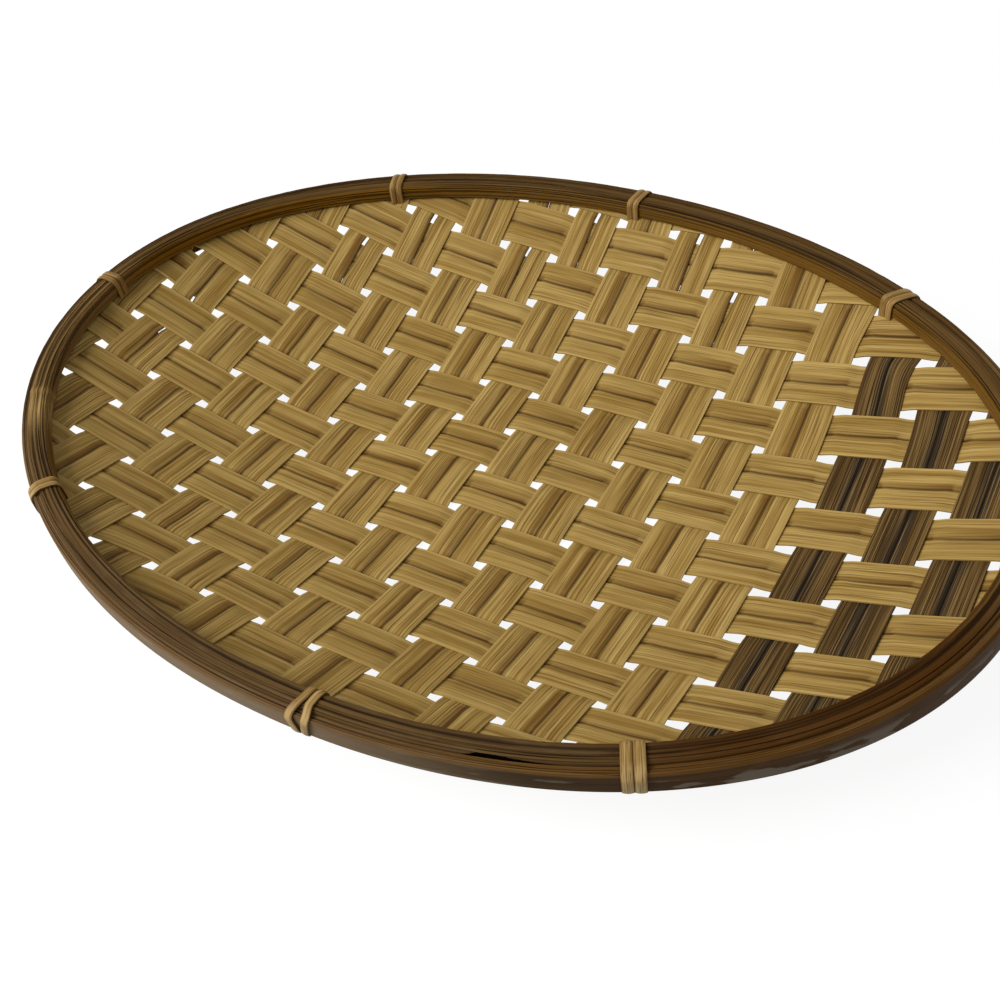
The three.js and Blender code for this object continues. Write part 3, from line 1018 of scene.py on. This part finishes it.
def seen_directly(tree):
    """1 for what is seen, straight, in a gloss or through glass, and 0 for what lights other things."""
    path = tree.nodes.new("ShaderNodeLightPath")
    seen = Wire(tree, path.outputs["Is Camera Ray"])
    seen = seen.math("MAXIMUM", path.outputs["Is Glossy Ray"])
    return seen.math("MAXIMUM", path.outputs["Is Transmission Ray"])


def either(tree, share, first, second):
    node = tree.nodes.new("ShaderNodeMixShader")
    plug(tree, share, node.inputs[0])
    tree.links.new(first, node.inputs[1])
    tree.links.new(second, node.inputs[2])
    return node.outputs[0]


def plain_white(tree, level):
    node = tree.nodes.new("ShaderNodeBsdfDiffuse")
    node.inputs["Color"].default_value = (level, level, level, 1)
    return node.outputs[0]


sheet_finish = bpy.data.materials.new("white sheet")
sheet_finish.use_nodes = True
sheet_nodes = sheet_finish.node_tree
sheet_nodes.nodes.remove(sheet_nodes.nodes["Principled BSDF"])
glow = sheet_nodes.nodes.new("ShaderNodeEmission")
glow.inputs["Strength"].default_value = floor_glow
white = sheet_nodes.nodes.new("ShaderNodeAddShader")
sheet_nodes.links.new(glow.outputs[0], white.inputs[0])
sheet_nodes.links.new(plain_white(sheet_nodes, floor_shading), white.inputs[1])
bounce = plain_white(sheet_nodes, floor_bounce)
shown_floor = either(sheet_nodes, seen_directly(sheet_nodes), bounce, white.outputs[0])
sheet_nodes.links.new(shown_floor, sheet_nodes.nodes["Material Output"].inputs["Surface"])
floor_mesh.materials.append(sheet_finish)

# Light
# One large soft box off the near side of the tray's pale end, on the left in the picture, and white
# walls that fill the shadows and are seen as plain white.
wall_fill = 0.38
box_size = 1.6
box_watts = 66.0
box_place = Vector((-1.48, -1.24, 1.74))
world = bpy.data.worlds.new("studio")
world.use_nodes = True
bpy.context.scene.world = world
sky = world.node_tree
fill = sky.nodes["Background"]
fill.inputs["Color"].default_value = (1, 1, 1, 1)
fill.inputs["Strength"].default_value = wall_fill
wall = sky.nodes.new("ShaderNodeBackground")
wall.inputs["Color"].default_value = (1, 1, 1, 1)
shown_wall = either(sky, seen_directly(sky), fill.outputs[0], wall.outputs[0])
sky.links.new(shown_wall, sky.nodes["World Output"].inputs["Surface"])

box_light = bpy.data.lights.new("soft box", "AREA")
box_light.shape = "SQUARE"
box_light.size = box_size
box_light.energy = box_watts
soft_box = bpy.data.objects.new("soft box", box_light)
bpy.context.collection.objects.link(soft_box)
soft_box.location = box_place
soft_box.rotation_euler = box_place.to_track_quat("Z", "Y").to_euler()

# Camera
# It looks down over the near side of the dark end, and is rolled a little so that the tray lies aslant.
# The angles are in radians, and the focal length is in pixels of the picture.
camera_place = Vector((0.20644, -0.28132, 0.35373))
azimuth, elevation, roll = 0.6388, 0.8142, -0.1762
picture_width = 1000
focal_pixels = 1242.67
sensor_width = 36
back = Vector(
    (
        math.sin(azimuth) * math.cos(elevation),
        -math.cos(azimuth) * math.cos(elevation),
        math.sin(elevation),
    )
)
level = Vector((math.cos(azimuth), math.sin(azimuth), 0))
upright = back.cross(level)
right = math.cos(roll) * level + math.sin(roll) * upright
up = math.cos(roll) * upright - math.sin(roll) * level
lens = bpy.data.cameras.new("camera")
lens.sensor_fit = "HORIZONTAL"
lens.sensor_width = sensor_width
lens.lens = sensor_width * focal_pixels / picture_width
lens.clip_start = 0.01
camera = bpy.data.objects.new("camera", lens)
bpy.context.collection.objects.link(camera)
turned = Matrix((right, up, back)).transposed()
camera.matrix_world = Matrix.Translation(camera_place) @ turned.to_4x4()
bpy.context.scene.camera = camera
bpy.context.scene.view_settings.view_transform = "Standard"

bpy.context.view_layer.update()
